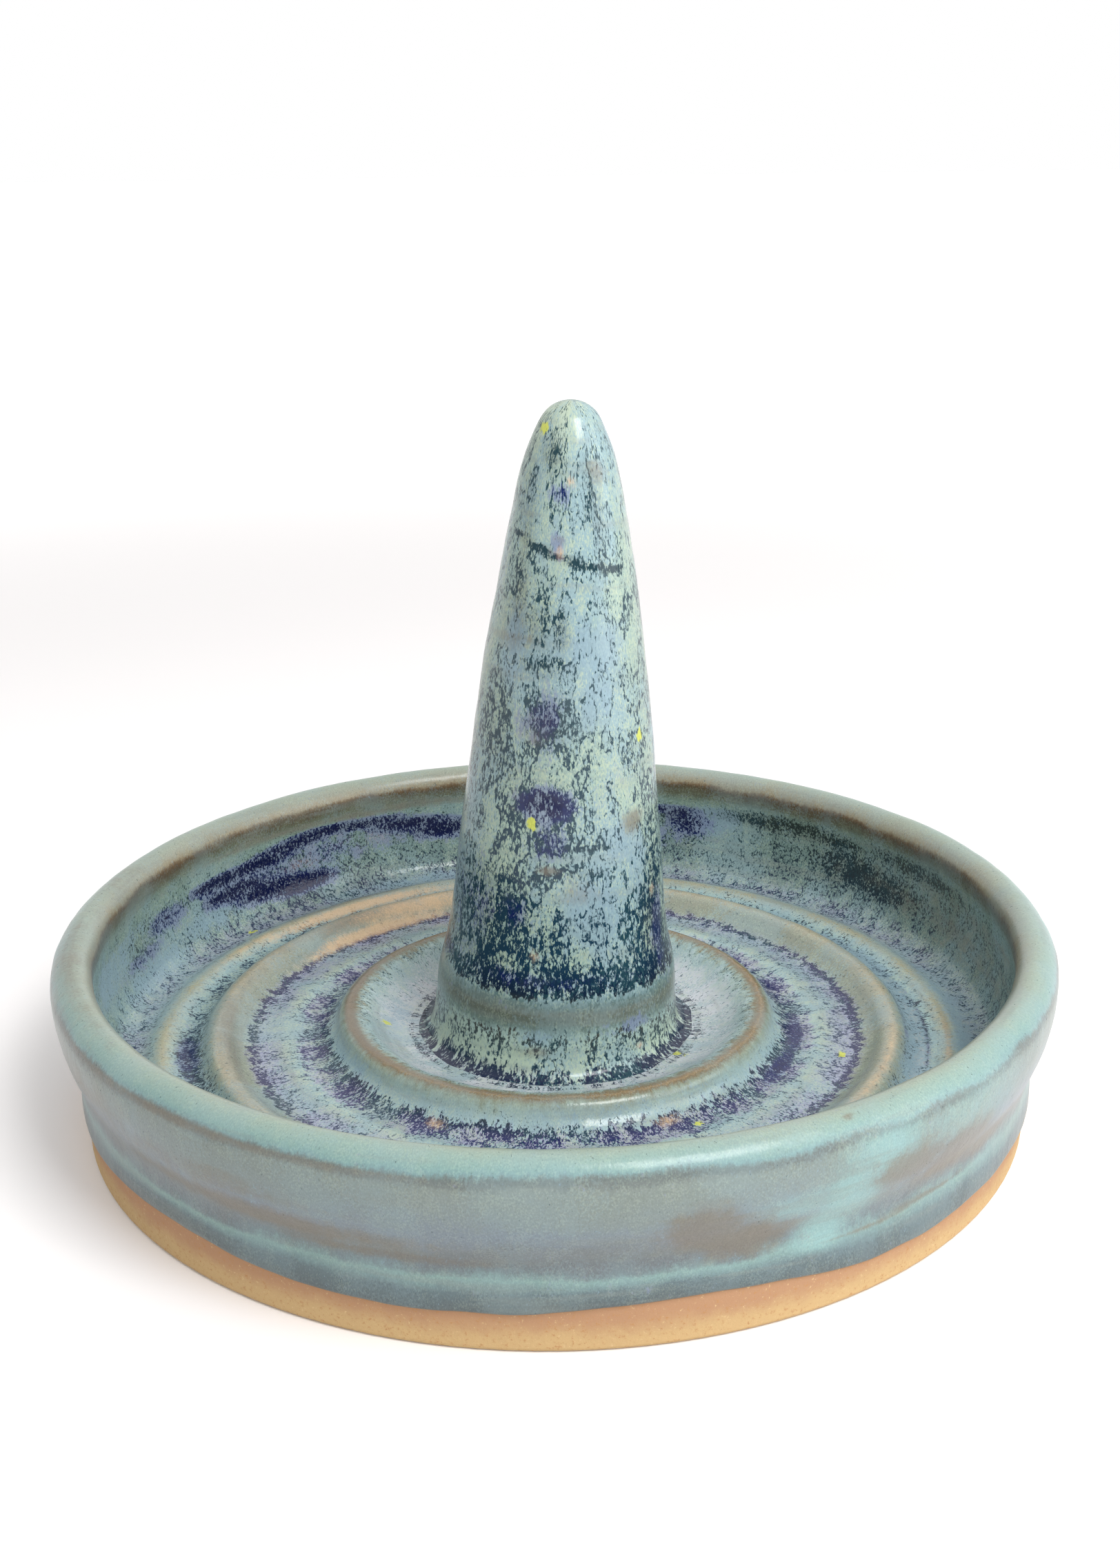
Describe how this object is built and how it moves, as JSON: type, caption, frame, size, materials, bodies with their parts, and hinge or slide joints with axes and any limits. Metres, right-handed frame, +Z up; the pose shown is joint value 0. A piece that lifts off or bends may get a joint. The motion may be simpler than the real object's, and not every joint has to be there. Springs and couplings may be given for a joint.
{
  "type": "ring dish",
  "caption": "Round shallow dish with a rolled rim, raised rings on its floor and a tall central cone that holds finger rings, glazed to just above its foot.",
  "frame": {"origin": "middle of the resting plane under the foot ring", "axes": "+Z up out of the dish, front toward -Y, the cone leans slightly to +X"},
  "size_m": [0.115, 0.115, 0.0809],
  "materials": {
    "stoneware": "bare fired stoneware, matt and slightly gritty",
    "inside_glaze": "gloss glaze, blue-green with dark pools and brown edges",
    "rim_glaze": "gloss glaze, light green with streaks",
    "outside_glaze": "gloss glaze, grey-teal with brown patches",
    "cone_glaze": "gloss glaze, cream-green flecks over dark teal"
  },
  "bodies": {
    "root": {"dish_body": "stoneware", "ring_cone": "stoneware", "joint_coil": "stoneware", "inside_glaze": "inside_glaze", "rim_glaze": "rim_glaze", "outside_glaze": "outside_glaze", "cone_glaze": "cone_glaze"}
  },
  "joints": []
}
